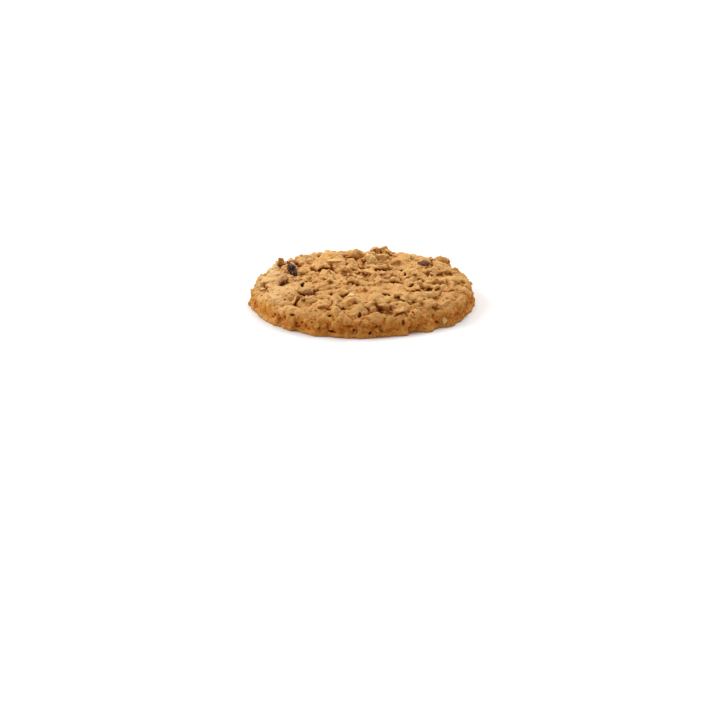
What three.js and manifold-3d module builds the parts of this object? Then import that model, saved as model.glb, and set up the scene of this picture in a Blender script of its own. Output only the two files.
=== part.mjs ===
// A toffee and oat cookie, baked on a flat tray: a round of drop dough with a flat underside, a plump rim
// and a gently domed, craggy top. Oat flakes and a few chips of dark toffee stand out of the dough.
//
// Millimetres, +Z up. The origin is the middle of the flat underside, on the surface that the cookie lies
// on. -Y is the side that faces a viewer.
import * as THREE from "three";
import { mergeVertices } from "three/addons/utils/BufferGeometryUtils.js";
import Module from "manifold-3d";

const wasm = await Module();
wasm.setup();

// --- Driving sizes ------------------------------------------------------------------------------------
const BELLY_RADIUS = 33.7; // the rim at its widest, before any crags
const BELLY_HEIGHT = 2.9; // how high the rim is widest
const BASE_TUCK = 1.3; // how far the flat underside's edge lies inside the belly
const SHOULDER_WIDTH = 6.8; // inwards from the belly to where the top begins
const SHOULDER_RISE = 5.0; // upwards from the belly to where the top begins
const DOME_RISE = 0.8; // what the top still gains from there to its middle

const FACET = 1.19; // length of a triangle's side on the top and the rim
const BASE_RINGS = [0.86, 0.6, 0.3]; // the flat underside's rings, as shares of its radius
const BASE_THINNING = 2; // each ring of the underside has this many times fewer points than the last

// The outline strays from a true circle in a few slow waves: how many to a turn, how deep, where they start.
const OUTLINE_WAVES = [
  { count: 2, depth: 0.3, start: 0.6 },
  { count: 3, depth: 0.35, start: 2.1 },
  { count: 5, depth: 0.28, start: 4.0 },
  { count: 8, depth: 0.22, start: 1.2 },
];

// Crags: flat flakes of oat under a coat of dough, spread evenly over the top and the rim, each lying
// tilted. Half of their length, width and thickness is given, and how far they are raised or sunk.
const CRAG = {
  count: 330,
  seed: 41,
  length: [2.0, 4.0],
  width: [0.62, 0.95], // as a share of the length
  thickness: [0.75, 1.15],
  raise: [-0.55, 0.35],
  tilt: [0.05, 0.6], // in radians
};
const RIM_SHARE = 0.45; // the crags' thickness and tilt low on the rim, as a share of those on the top
// Pits: bubbles that burst while baking.
const PIT = { count: 40, seed: 97, radius: [0.8, 1.3], depth: [0.8, 1.5] };

// What shows best on the top and round the front, each at a place seen from above (x to the right, y away
// from the viewer). A swell stands higher than its surroundings and a hollow lies lower.
const SWELLS = [
  { x: 7.2, y: 28, across: 7, rise: 1.9 }, // the knob on the far edge
  { x: 25.5, y: 20, across: 7, rise: 2.6 }, // the crumbly cluster on the far right
  { x: 4, y: 14, across: 5, rise: 1.0 }, // under the largest oat flake
  { x: -17, y: 24, across: 8, rise: 0.8 }, // the far left shoulder
  { x: -2, y: -2, across: 5, rise: 0.9 }, // the heap in the middle
  { x: -3, y: -27, across: 8, rise: 0.8 }, // the near edge, above its hole
  { x: 8, y: -26.5, across: 8, rise: 0.6 }, // the near edge, right of the hole
  { x: 25, y: -20.5, across: 7, rise: 1.0 }, // the near right edge
  { x: -27, y: -14, across: 9, rise: 0.7 }, // the near left edge
];
const HOLLOWS = [
  { x: 20.5, y: -24.4, across: 4, drop: 1.2 }, // the notch in the near right edge
  { x: 7.2, y: -13.7, across: 4.5, drop: 1.4 }, // the dark hollow right of the middle
  { x: -11.4, y: 10.3, across: 4.5, drop: 1.2 }, // the hollow left of the middle
  { x: 0.9, y: 12.8, across: 3.5, drop: 1.4 }, // the crevice beside the largest flake
  { x: -20, y: -22, across: 4.5, drop: 1.3 }, // the slanting crevice, near left
  { x: -17.1, y: -11.6, across: 3.6, drop: 1.4 }, // the pit that holds a toffee chip
  { x: -24.7, y: -0.5, across: 4, drop: 1.1 }, // the crevice below the long toffee chip
  { x: 14.5, y: 2.4, across: 4.5, drop: 1.2 }, // the crevice right of the middle
  { x: 19.8, y: -7.8, across: 4, drop: 1.1 }, // the next one towards the near right
  { x: -0.8, y: -31.4, across: 2.6, drop: 1.8 }, // the hole in the near edge
];

// Bare oat flakes that stand out of the dough. The ones that show best are set by eye, on the top at places
// seen from above and on the rim at a turn from +X and a height. The rest are spread by rule, the largest
// first: on the top on a spiral, on the rim at even turns.
const FLAKE = { seed: 7, length: [5.2, 3.2], width: 0.74, thickness: 1.0, sides: 8, tilt: 0.3 };
const SET_TOP_FLAKES = [
  { x: 4, y: 14.2, length: 5.0 },
  { x: -3.9, y: -18.5, length: 2.8 },
  { x: -7.9, y: -30, length: 3.4 },
];
const SET_RIM_FLAKES = [{ turn: -0.7, height: 2.8, length: 3.4 }];
const TOP_FLAKES = { count: 24, reach: 30.5 };
const RIM_FLAKES = { count: 9, height: [3.6, 6.2] };
// Chips of dark toffee, each at a place seen from above.
const CHIPS = [
  { x: -22, y: 5.5, length: 5.0, width: 3.2, turn: -1.3 },
  { x: -17.1, y: -11.6, length: 3.0, width: 2.2, turn: 0.4 },
  { x: 19, y: 12, length: 3.4, width: 2.2, turn: 0.8 },
  { x: 31.6, y: 7, length: 3.0, width: 2.0, turn: 1.4 },
  { x: -5.5, y: 31, length: 3.4, width: 2.3, turn: 0.2 },
  { x: -30, y: 9, length: 2.8, width: 2.0, turn: 1.8 },
  { x: 6.5, y: -4.5, length: 2.6, width: 1.9, turn: 2.4 },
];
const CHIP_HEIGHT = 1.7;

// --- Tools --------------------------------------------------------------------------------------------
const FULL_TURN = 2 * Math.PI;
const MERGE = 1e-4; // points that are closer than this are one
const GOLDEN_TURN = Math.PI * (3 - Math.sqrt(5)); // from each spot to the next on an even spiral

/** Draws from 0 to 1, the same on each run: a linear congruential generator. */
function dice(seed) {
  let state = seed;
  return () => {
    state = (state * 1664525 + 1013904223) % 4294967296;
    return state / 4294967296;
  };
}

const between = ([from, to], share) => from + (to - from) * share;

/** From 0 at the start to 1 at the end, with no kink at either. */
function eased(value, start, end) {
  const share = Math.min(1, Math.max(0, (value - start) / (end - start)));
  return share * share * (3 - 2 * share);
}

/** A closed geometry as a solid that can be joined to another. */
function solidOf(geometry) {
  const bare = new THREE.BufferGeometry();
  bare.setAttribute("position", geometry.getAttribute("position"));
  bare.setIndex(geometry.getIndex());
  const merged = mergeVertices(bare, MERGE);
  return new wasm.Manifold(
    new wasm.Mesh({
      numProp: 3,
      vertProperties: merged.getAttribute("position").array,
      triVerts: new Uint32Array(merged.getIndex().array),
    }),
  );
}

/** A joined solid as a geometry that three.js can draw. */
function geometryOf(solid) {
  const mesh = solid.getMesh();
  const geometry = new THREE.BufferGeometry();
  geometry.setAttribute("position", new THREE.BufferAttribute(mesh.vertProperties, mesh.numProp));
  geometry.setIndex(new THREE.BufferAttribute(mesh.triVerts, 1));
  geometry.computeVertexNormals();
  return geometry;
}

// --- The core: a smooth round of dough ----------------------------------------------------------------
const TOP_RADIUS = BELLY_RADIUS - SHOULDER_WIDTH;
const BASE_RADIUS = BELLY_RADIUS - BASE_TUCK;
const SHOULDER_HEIGHT = BELLY_HEIGHT + SHOULDER_RISE;
const CROWN_HEIGHT = SHOULDER_HEIGHT + DOME_RISE;

/** Half of the core's section, from the middle of the top out over the rim to the underside's edge. */
function coreSection() {
  const section = new THREE.Path();
  section.moveTo(0, CROWN_HEIGHT);
  section.quadraticCurveTo(TOP_RADIUS / 2, CROWN_HEIGHT, TOP_RADIUS, SHOULDER_HEIGHT);
  section.absellipse(TOP_RADIUS, BELLY_HEIGHT, SHOULDER_WIDTH, SHOULDER_RISE, Math.PI / 2, 0, true);
  section.quadraticCurveTo(BELLY_RADIUS, BELLY_HEIGHT / 2, BASE_RADIUS, 0);
  return section;
}

const section = coreSection();
const SECTION_STEPS = 400;
const SECTION_LENGTH = section.getLength();

/** The outline's radius in one direction, as a share of the belly's radius. */
function outline(turn) {
  const strays = OUTLINE_WAVES.map((w) => w.depth * Math.sin(w.count * turn + w.start));
  return 1 + strays.reduce((sum, stray) => sum + stray, 0) / BELLY_RADIUS;
}

/** A place on the core: `along` runs from 0 in the middle of the top to 1 at the underside's edge. */
function corePlace(along, turn) {
  const flat = section.getPointAt(along);
  const slope = section.getTangentAt(along);
  const radius = flat.x * outline(turn);
  const outward = new THREE.Vector3(Math.cos(turn), Math.sin(turn), 0);
  return {
    point: outward.clone().multiplyScalar(radius).setZ(flat.y),
    normal: outward.clone().multiplyScalar(-slope.y).setZ(slope.x).normalize(),
  };
}

/** How far along the section a given share of the top's and the rim's area lies. */
const areaTable = (() => {
  const radii = Array.from({ length: SECTION_STEPS + 1 }, (_, i) => section.getPointAt(i / SECTION_STEPS).x);
  const sums = [0];
  for (let i = 1; i <= SECTION_STEPS; i++) sums.push(sums[i - 1] + (radii[i - 1] + radii[i]) / 2);
  return sums.map((sum) => sum / sums[SECTION_STEPS]);
})();
const alongOfArea = (share) => areaTable.findIndex((sum) => sum >= share) / SECTION_STEPS;

/** Spots spread evenly over the top and the rim, on a spiral, each moved a little at random. */
function evenSpots(count, roll) {
  return Array.from({ length: count }, (_, i) => {
    const share = (i + 0.15 + 0.7 * roll()) / count;
    const turn = i * GOLDEN_TURN + (roll() - 0.5) * (GOLDEN_TURN / Math.sqrt(i + 1));
    return corePlace(alongOfArea(share), turn);
  });
}

/** The two directions that span a surface with this normal, both turned by `spin` about it. */
function spanAt(normal, spin) {
  const level = new THREE.Vector3(0, 0, 1).cross(normal);
  const first = level.lengthSq() < 1e-6 ? new THREE.Vector3(1, 0, 0) : level.normalize();
  first.applyAxisAngle(normal, spin);
  return [first, normal.clone().cross(first)];
}

// --- The relief: how far the real surface stands out of the core --------------------------------------
/** Turns the way that a surface faces into the way that a flake lying tilted on it faces. */
function tiltedNormal(normal, spin, tilt) {
  const [axis] = spanAt(normal, spin);
  return normal.clone().applyAxisAngle(axis, tilt);
}

const crags = (() => {
  const roll = dice(CRAG.seed);
  return evenSpots(CRAG.count, roll).map(({ point, normal }) => {
    const share = RIM_SHARE + (1 - RIM_SHARE) * eased(point.z, 0, SHOULDER_HEIGHT);
    const up = tiltedNormal(normal, roll() * FULL_TURN, between(CRAG.tilt, roll()) * share);
    const [long, short] = spanAt(up, roll() * FULL_TURN);
    const length = between(CRAG.length, roll());
    const width = length * between(CRAG.width, roll());
    const thickness = between(CRAG.thickness, roll()) * share;
    const middle = point.clone().addScaledVector(normal, between(CRAG.raise, roll()));
    return { middle, long, short, up, length, width, thickness };
  });
})();

const pits = (() => {
  const roll = dice(PIT.seed);
  return evenSpots(PIT.count, roll).map(({ point }) => ({
    point,
    radius: between(PIT.radius, roll()),
    depth: between(PIT.depth, roll()),
  }));
})();

/** A vector as a crag sees it, in which the crag's ellipsoid is a sphere of radius 1. */
function seenByCrag(crag, vector) {
  return new THREE.Vector3(
    vector.dot(crag.long) / crag.length,
    vector.dot(crag.short) / crag.width,
    vector.dot(crag.up) / crag.thickness,
  );
}

/** How high one crag stands over a point, measured along the normal, or 0 beside it. */
function cragHeight(crag, point, normal) {
  if (point.distanceTo(crag.middle) > crag.length + crag.thickness) return 0;
  const start = seenByCrag(crag, point.clone().sub(crag.middle));
  const step = seenByCrag(crag, normal);
  const across = start.dot(step);
  const inside = across * across - step.lengthSq() * (start.lengthSq() - 1);
  return inside < 0 ? 0 : Math.max(0, (Math.sqrt(inside) - across) / step.lengthSq());
}

/** A round bump with no edge: 1 in its middle, 0 from half of `across` on. */
function mound(distance, across) {
  const share = Math.min(1, (2 * distance) / across);
  return (1 - share * share) ** 2;
}

function relief(point, normal) {
  const CREASE = 6; // the higher, the sharper the creases between crags
  const heaps = crags.reduce((sum, crag) => sum + cragHeight(crag, point, normal) ** CREASE, 0);
  const holes = pits.reduce((sum, pit) => {
    return sum + pit.depth * mound(point.distanceTo(pit.point), 2 * pit.radius);
  }, 0);
  const from = (spot) => Math.hypot(point.x - spot.x, point.y - spot.y);
  const raised = SWELLS.reduce((sum, s) => sum + s.rise * mound(from(s), s.across), 0);
  const sunk = HOLLOWS.reduce((sum, h) => sum + h.drop * mound(from(h), h.across), 0);
  return heaps ** (1 / CREASE) - holes + raised - sunk;
}

/** The real surface at a place on the core. At the underside's edge it only moves sideways. */
function surfacePoint({ point, normal }) {
  const FREE_HEIGHT = 1.6; // from here up the relief may also raise or lower the surface
  const moved = normal.clone().multiplyScalar(relief(point, normal) - CRAG.thickness[0] / 2);
  moved.z *= eased(point.z, 0, FREE_HEIGHT);
  return point.clone().add(moved);
}

// --- The dough as one closed mesh of rings ------------------------------------------------------------
/** A ring of points round the part. Every other ring is shifted by half a step, for even triangles. */
function ring(count, shift, placeOf) {
  return Array.from({ length: count }, (_, i) => placeOf(((i + shift) / count) * FULL_TURN));
}

/** The triangles between two rings that follow each other on the way from the top to the underside. */
function stitch(inner, outer, triangles) {
  let [i, o] = [0, 0];
  while (i < inner.length || o < outer.length) {
    const nextInner = (i + 1) / inner.length;
    const nextOuter = (o + 1) / outer.length;
    const a = inner[i % inner.length];
    const b = outer[o % outer.length];
    if (o < outer.length && (i >= inner.length || nextOuter <= nextInner)) {
      triangles.push(a, b, outer[(o + 1) % outer.length]);
      o++;
    } else {
      triangles.push(a, b, inner[(i + 1) % inner.length]);
      i++;
    }
  }
}

function doughGeometry() {
  const rows = Math.round(SECTION_LENGTH / FACET);
  const rings = [];
  for (let row = 1; row <= rows; row++) {
    const along = row / rows;
    const count = Math.max(6, Math.round((FULL_TURN * section.getPointAt(along).x) / FACET));
    rings.push(ring(count, (row % 2) / 2, (turn) => surfacePoint(corePlace(along, turn))));
  }
  const edge = rings[rings.length - 1];
  BASE_RINGS.forEach((share, i) => {
    const count = Math.round(edge.length / BASE_THINNING ** (i + 1));
    const radius = BASE_RADIUS * share;
    const place = (turn) => new THREE.Vector3(radius * Math.cos(turn), radius * Math.sin(turn), 0);
    rings.push(ring(count, 0, place));
  });

  const triangles = [];
  const fan = (middle, around) => {
    around.forEach((here, i) => triangles.push(middle, here, around[(i + 1) % around.length]));
  };
  fan(surfacePoint(corePlace(0, 0)), rings[0]);
  for (let i = 1; i < rings.length; i++) stitch(rings[i - 1], rings[i], triangles);
  fan(new THREE.Vector3(0, 0, 0), rings[rings.length - 1].reverse());
  return mergeVertices(new THREE.BufferGeometry().setFromPoints(triangles), MERGE);
}

// --- What stands out of the dough ---------------------------------------------------------------------
/** The way that the smooth core faces at a point on it: up on the top, and outwards round the rim. */
function facing(point) {
  const radius = Math.hypot(point.x, point.y);
  const outwards = Math.max(0, radius - TOP_RADIUS) / SHOULDER_WIDTH ** 2;
  const upwards = Math.max(0, point.z - BELLY_HEIGHT) / SHOULDER_RISE ** 2;
  return new THREE.Vector3(point.x, point.y, 0).setLength(outwards).setZ(upwards).normalize();
}

/** The first point of the dough that a straight line meets. */
function firstTouch(dough, start, direction) {
  return new THREE.Raycaster(start, direction).intersectObject(dough)[0].point;
}

const FAR = 60; // a distance from the middle that is outside the cookie

function touchFromAbove(dough, x, y) {
  return firstTouch(dough, new THREE.Vector3(x, y, FAR), new THREE.Vector3(0, 0, -1));
}

function touchFromAside(dough, turn, height) {
  const outwards = new THREE.Vector3(Math.cos(turn), Math.sin(turn), 0);
  return firstTouch(dough, outwards.clone().multiplyScalar(FAR).setZ(height), outwards.negate());
}

/** Lays a piece on the dough at a point: its own Z faces away from the dough, then it is tilted and spun. */
function laid(geometry, point, spin, tilt) {
  const up = tiltedNormal(facing(point), spin, tilt);
  const [long, short] = spanAt(up, 2 * spin);
  const turn = new THREE.Matrix4().makeBasis(long, short, up);
  return geometry.applyMatrix4(turn.setPosition(point));
}

/** Where the bare flakes lie, and how long each is. */
function flakeSpots(dough, roll) {
  const setOnTop = SET_TOP_FLAKES.map(({ x, y, length }) => {
    return { point: touchFromAbove(dough, x, y), length };
  });
  const setOnRim = SET_RIM_FLAKES.map(({ turn, height, length }) => {
    return { point: touchFromAside(dough, turn, height), length };
  });
  const onTop = Array.from({ length: TOP_FLAKES.count }, (_, i) => {
    const radius = TOP_FLAKES.reach * Math.sqrt((i + roll()) / TOP_FLAKES.count);
    const turn = i * GOLDEN_TURN + 0.6 * roll();
    return touchFromAbove(dough, radius * Math.cos(turn), radius * Math.sin(turn));
  });
  const onRim = Array.from({ length: RIM_FLAKES.count }, (_, i) => {
    const turn = ((i + 0.7 * roll()) / RIM_FLAKES.count) * FULL_TURN;
    return touchFromAside(dough, turn, between(RIM_FLAKES.height, roll()));
  });
  const spread = [...onTop, ...onRim].map((point, i, all) => {
    return { point, length: between(FLAKE.length, i / all.length) };
  });
  return [...setOnTop, ...setOnRim, ...spread];
}

function flakeGeometries(dough) {
  const roll = dice(FLAKE.seed);
  return flakeSpots(dough, roll).map(({ point, length }) => {
    const flake = new THREE.SphereGeometry(0.5, FLAKE.sides, 4).rotateX(Math.PI / 2);
    flake.scale(length, length * FLAKE.width, FLAKE.thickness);
    return laid(flake, point, roll() * FULL_TURN, (2 * roll() - 1) * FLAKE.tilt);
  });
}

function chipGeometries(dough) {
  return CHIPS.map(({ x, y, length, width, turn }) => {
    const chip = new THREE.IcosahedronGeometry(0.5, 1).scale(length, width, CHIP_HEIGHT);
    return laid(chip, touchFromAbove(dough, x, y), turn, 0);
  });
}

/** Everything joined: the largest body is kept, so loose scraps go and sealed hollows are filled. */
function cookieGeometry() {
  const dough = new THREE.Mesh(doughGeometry());
  const pieces = [...flakeGeometries(dough), ...chipGeometries(dough)].map(solidOf);
  const joined = pieces.reduce((whole, piece) => whole.add(piece), solidOf(dough.geometry));
  const bodies = joined.decompose().sort((a, b) => b.volume() - a.volume());
  return geometryOf(bodies[0]);
}

const crust = new THREE.MeshStandardMaterial({ color: 0xc08a4e, roughness: 0.92, metalness: 0 });
const cookie = new THREE.Mesh(cookieGeometry(), crust);
cookie.name = "cookie";

const part = new THREE.Group();
part.add(cookie);
export default part;
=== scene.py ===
"""A toffee and oat cookie on a pale floor, in soft light.

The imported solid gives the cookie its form. The crust is grown on that form as a fine signed distance field:
mounds of dough, coated oats and crumbs are joined to it, and cracks and pinholes are cut out of it.
The field is then turned back into one mesh. Bare oat flakes and chips of toffee are pieces of their own.
"""
import math

import bmesh
import bpy
import numpy as np
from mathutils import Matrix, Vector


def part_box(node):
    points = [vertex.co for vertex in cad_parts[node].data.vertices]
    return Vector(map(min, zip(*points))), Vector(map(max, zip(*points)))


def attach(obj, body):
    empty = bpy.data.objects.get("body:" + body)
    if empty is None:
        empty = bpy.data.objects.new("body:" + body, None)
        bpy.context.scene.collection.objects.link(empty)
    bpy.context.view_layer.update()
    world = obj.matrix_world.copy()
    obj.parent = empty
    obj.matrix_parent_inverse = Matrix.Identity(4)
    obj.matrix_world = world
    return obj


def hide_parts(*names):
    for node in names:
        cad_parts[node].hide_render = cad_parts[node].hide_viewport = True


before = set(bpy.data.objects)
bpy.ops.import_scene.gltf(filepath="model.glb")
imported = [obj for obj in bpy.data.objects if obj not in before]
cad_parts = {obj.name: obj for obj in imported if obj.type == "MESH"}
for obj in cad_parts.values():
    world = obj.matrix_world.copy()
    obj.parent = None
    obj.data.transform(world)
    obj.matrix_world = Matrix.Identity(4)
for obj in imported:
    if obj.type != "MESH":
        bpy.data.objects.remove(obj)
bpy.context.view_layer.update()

import openvdb
from mathutils import Quaternion, Vector
from mathutils.bvhtree import BVHTree

MM = 0.001  # the frame is in metres, and every size below is in millimetres unless it says otherwise
FULL_TURN = 2 * math.pi

# --- The solid's own sizes ---
NODE = "cookie"
LOW, HIGH = (np.array(corner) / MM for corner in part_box(NODE))
BELLY_HEIGHT = 2.9  # how high the rim is widest
SHOULDER_WIDTH = 6.8  # inwards from the rim to where the top begins
SHOULDER_RISE = 5.0  # from there up to the top's edge
TOP_RADIUS = 26.9
FLAKE = {"seed": 7, "length": (5.2, 3.2), "width": 0.74, "thickness": 1.0, "tilt": 0.3}
FLAKES_SET = 4  # the solid has these before the ones that are spread, and dough coats them
TOP_FLAKES = {"count": 24, "reach": 30.5}
RIM_FLAKES = {"count": 9, "height": (3.6, 6.2)}
BARE = 3  # behind the middle, one spread flake in so many is bare, and dough coats all others
FLAKES_SUNK = 0.25
CHIP_HEIGHT = 1.7
CHIPS = [  # those that show: x, y, length, width, turn, how pale
    (-17.1, -11.6, 3.0, 2.2, 0.4, 0.9),
    (6.5, -4.5, 2.6, 1.9, 2.4, 1.1),
]
FLAT = 0.01  # a triangle whose corners all lie lower than this is part of the flat underside

# --- The view ---
ELEVATION = math.radians(19.5)
DISTANCE = 900.0
PICTURE = 720  # pixels across the picture
SCALE = 3.243  # pixels to a millimetre at the cookie
ORIGIN_PIXEL = (362.5, 302.5)  # where the middle of the underside lies in the picture
SENSOR = 36.0
BACK = np.array([0, -math.cos(ELEVATION), math.sin(ELEVATION)])  # from the cookie to the viewer
UP = np.array([0, math.sin(ELEVATION), math.cos(ELEVATION)])
RIGHT = np.array([1.0, 0, 0])
AIM = ((PICTURE / 2 - ORIGIN_PIXEL[0]) * RIGHT - (PICTURE / 2 - ORIGIN_PIXEL[1]) * UP) / SCALE
EYE = AIM + DISTANCE * BACK
VIEW_LIMIT = 20.0  # in metres

# --- The stage, in metres and watts ---
FLOOR_REACH = 4.0
FLOOR_DROP = 0.02 * MM  # the floor lies just under the cookie, as two faces at one height would mix
LIGHTS = {  # place, width and power
    "overhead": ((0.25, 0.9, 1.35), 1.6, 26),
    "key": ((-1.1, 0.2, 0.8), 0.8, 12),
}
SKY_COLOUR = (1, 0.96, 0.92, 1)
SKY_STRENGTH = 0.56

# --- The crust's field ---
VOXEL = 0.25
BAND = 2.2  # how far from the surface the field is true
MARGIN = 1.6  # free space in the field round the solid
FACET_BLUR = 0.6  # how far the solid's facets are smoothed
SOLID_WARP = 0.6  # and how ragged its bumps then become
BROAD_BLUR = 1.0  # how far the crust is smoothed to find the way out of it
# Mounds of dough of three sizes: how many, how far they reach, how much they stand out and lean, how domed
# they are and how far in from the edge. Then how deep and wide the cracks between them are, and the noise at
# which a crack starts and is fully open.
PLATES = [
    (145, 10.5, 0.30, 0.14, 1.45, 1.7, 0.6, 0.4, (-0.3, 0.4)),
    (700, 5.0, 0.18, 0.12, 0.40, 0.9, 0.35, 0.3, (-0.2, 0.5)),
    (4200, 2.0, 0.05, 0.10, 0.08, 0.4, 0.1, 0.2, (-1.0, 0.5)),
]
LEDGES = {"count": 60, "width": (0.7, 2.2), "height": (0.25, 0.5), "depth": (0.6, 1.4)}
LEDGE_FALL = 0.34  # how much the crevice under a ledge slopes down as it goes in
OATS = {  # oats under a coat of dough
    "count": 130, "length": (1.1, 2.5), "width": (0.55, 0.9), "thickness": (0.45, 0.85),
    "raised": (-0.65, -0.25), "tilt": 0.5,
}
CRUMBS = {"count": 2600, "radius": (0.16, 0.42), "raised": (-0.12, 0.08)}
FOOT_CRUMBS = {"count": 420, "radius": (0.2, 0.55), "height": (0.3, 0.9), "sunk": (-0.6, 0.1)}
PINHOLES = {"count": 1300, "radius": (0.12, 0.42), "width": (0.6, 1.7), "depth": (1.0, 1.9)}
UNDER_PITS = {"count": 420, "radius": (0.3, 1.3), "width": (0.5, 1), "depth": (0.3, 0.6), "reach": 31.0}
SCRAPS = {  # of broken flakes
    "count": 20, "length": (0.9, 2.0), "width": (0.55, 0.85), "thickness": (0.4, 0.7), "raised": (-0.1, 0.15),
}
SCRAPS_FROM = -18  # scraps lie only behind this
# What a viewer sees of the crust, each with its place in the picture: pixels across and down.
# Crevices: then half the opening's length and height, how it leans, how deep it goes and the lump above it.
CREVICES = [
    (285, 281.5, 2, 0.9, 0.5, 1.9, 0.9),
    (303, 282.5, 1.3, 0.7, 0.5, 1.6, 0.6),
    (307.5, 279.5, 0.9, 0.4, 0.8, 1.2, 0.6),
    (312.5, 273.5, 1, 0.7, 0.9, 1.4, 0.6),
    (325.4, 266.5, 1.6, 0.9, 0, 1.5, 0.6),
    (307, 293.8, 1.6, 0.9, 0.2, 1.9, 1),
    (331, 282.5, 0.8, 0.35, 0.3, 1, 0.4),
    (330, 290.7, 1.7, 0.4, 0, 1.4, 0.8),
    (345, 272.8, 1.2, 0.35, 0, 1.2, 0.8),
    (352.5, 284.5, 1.6, 0.6, -0.1, 1.5, 0.9),
    (365.5, 263.5, 1.4, 0.8, -0.3, 1.7, 0.4),
    (362.3, 267.2, 0.6, 0.3, -0.5, 0.9, 0.3),
    (370.5, 271, 1.2, 0.35, 0, 1, 0.5),
    (386, 254.2, 0.8, 0.35, -0.5, 1, 0.5),
    (398.3, 263.5, 0.8, 0.35, -0.9, 1.4, 0),
    (402, 267.8, 0.8, 0.35, -0.8, 1.5, 0),
    (406.2, 272.8, 0.9, 0.4, -0.8, 1.6, 0),
    (413, 276.2, 1, 0.35, -0.3, 1.3, 0.5),
    (393, 275, 1.4, 0.35, 0.1, 1.2, 0.7),
    (388.5, 293.2, 1.9, 0.7, -0.2, 1.8, 0.7),
    (398.5, 296.5, 1.3, 0.45, -0.3, 1.5, 0.5),
    (365, 291.3, 0.7, 0.3, 0.2, 1, 0.4),
    (394, 283, 1.3, 0.35, 0, 1.2, 0.7),
    (409, 284.5, 1.1, 0.4, 0.4, 1.2, 0.6),
    (417, 291, 1.1, 0.35, -0.3, 1.2, 0.6),
    (437, 290, 1.2, 0.4, 0.5, 1.3, 0.6),
    (452, 290.5, 1, 0.4, -0.4, 1.2, 0.5),
    (349, 293.5, 0.6, 0.3, 0, 0.8, 0.3),
    (403.5, 300.5, 0.9, 0.4, -0.4, 1.4, 0.5),
    (412.8, 294.3, 0.6, 0.4, 0.3, 1.2, 0.3),
    (427.4, 286.7, 0.9, 0.45, 0, 1.4, 0.6),
    (442, 281.3, 1, 0.4, -0.5, 1.4, 0.6),
    (429, 304, 0.9, 0.5, 0.5, 1.5, 0),
    (444, 297.5, 1.1, 0.4, 0.2, 1.4, 0.6),
    (297.5, 301.5, 1.9, 0.7, 0.6, 1.7, 0.5),
    (285.5, 299, 0.5, 0.35, 0.9, 1, 0),
    (291, 315, 0.6, 0.3, 0.3, 0.9, 0.2),
    (284, 318, 0.4, 0.8, 0.2, 1.2, 0),
    (274.5, 314.8, 0.3, 0.7, 0.1, 1, 0),
    (316, 309.2, 0.35, 0.25, 0, 0.8, 0),
    (328.4, 315.6, 0.8, 0.4, 0.3, 1.2, 0.3),
    (320, 327, 0.7, 0.3, 0.7, 1, 0.3),
    (333, 330.5, 1, 0.35, -0.2, 1.2, 0.4),
    (359, 315.6, 0.65, 1, 0.1, 2.2, 0),
    (346, 322.5, 0.3, 0.3, 0, 0.9, 0),
    (359, 327, 0.35, 0.4, -0.6, 1, 0),
    (370, 332.4, 0.7, 0.5, 0.4, 1.4, 0),
    (376.5, 326.5, 0.5, 0.55, 0, 0.9, 0),
    (370, 320.3, 0.35, 0.3, 0, 0.8, 0),
    (387, 320, 0.3, 0.35, 0, 0.8, 0),
    (403.6, 321.5, 0.45, 0.55, 0.4, 1.3, 0),
    (402, 312.6, 1.2, 0.3, 0.3, 1.1, 0.3),
    (414.5, 313.5, 1.1, 0.35, -0.8, 1.2, 0.2),
    (425, 328.6, 0.35, 0.5, 0, 0.9, 0),
    (451, 316.4, 0.5, 0.3, 0.2, 1, 0),
    (294, 276.5, 1, 1, 0, 1.8, 0),  # the dark hollow at the foot of the largest chip
]
NODULES = [  # then half their width, height and thickness, how they lean, and how pale they are
    (301, 271.5, 1.3, 0.8, 0.9, -0.1, 0.9),
    (360.5, 278, 1.5, 1.4, 1, 0, 0.6),
    (335.5, 310.5, 1.35, 1.7, 0.9, 0.3, 1),
    (363, 287, 0.8, 0.8, 0.8, 0, 0.9),
    (416, 275, 0.5, 1.3, 0.7, 0.1, 0.9),
    (458, 303, 0.6, 1.5, 0.8, -0.1, 0.8),
    (350.5, 299.5, 1.2, 0.4, 0.5, 0.3, 0.8),
    (372, 302, 1.2, 0.4, 0.6, 0.1, 0.7),
    (325, 285.5, 1.4, 0.7, 0.8, 0.3, 0.5),
    (312, 287.5, 1, 0.6, 0.7, 0, 0.3),
    (420, 301, 1.3, 0.9, 0.9, -0.5, 0.4),
    (446, 300, 1.6, 0.8, 0.9, 0.5, 0.4),
    (384, 304, 1.9, 0.6, 1, 0, 0.3),
    (397, 303, 2, 0.8, 1.1, 0.1, 0.4),
    (409, 301, 1.4, 0.7, 1, 0.3, 0.5),
    (434, 303, 1.5, 0.7, 1, 0.5, 0.4),
    (341, 303.5, 1.9, 0.7, 1, 0, 0.4),
    (322, 304.5, 2.1, 0.6, 1, 0.1, 0.3),
    (306, 302, 1.8, 0.6, 0.9, 0.3, 0.3),
    (321, 255, 2.6, 1.5, 2, 0, 0.1),
]
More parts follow.
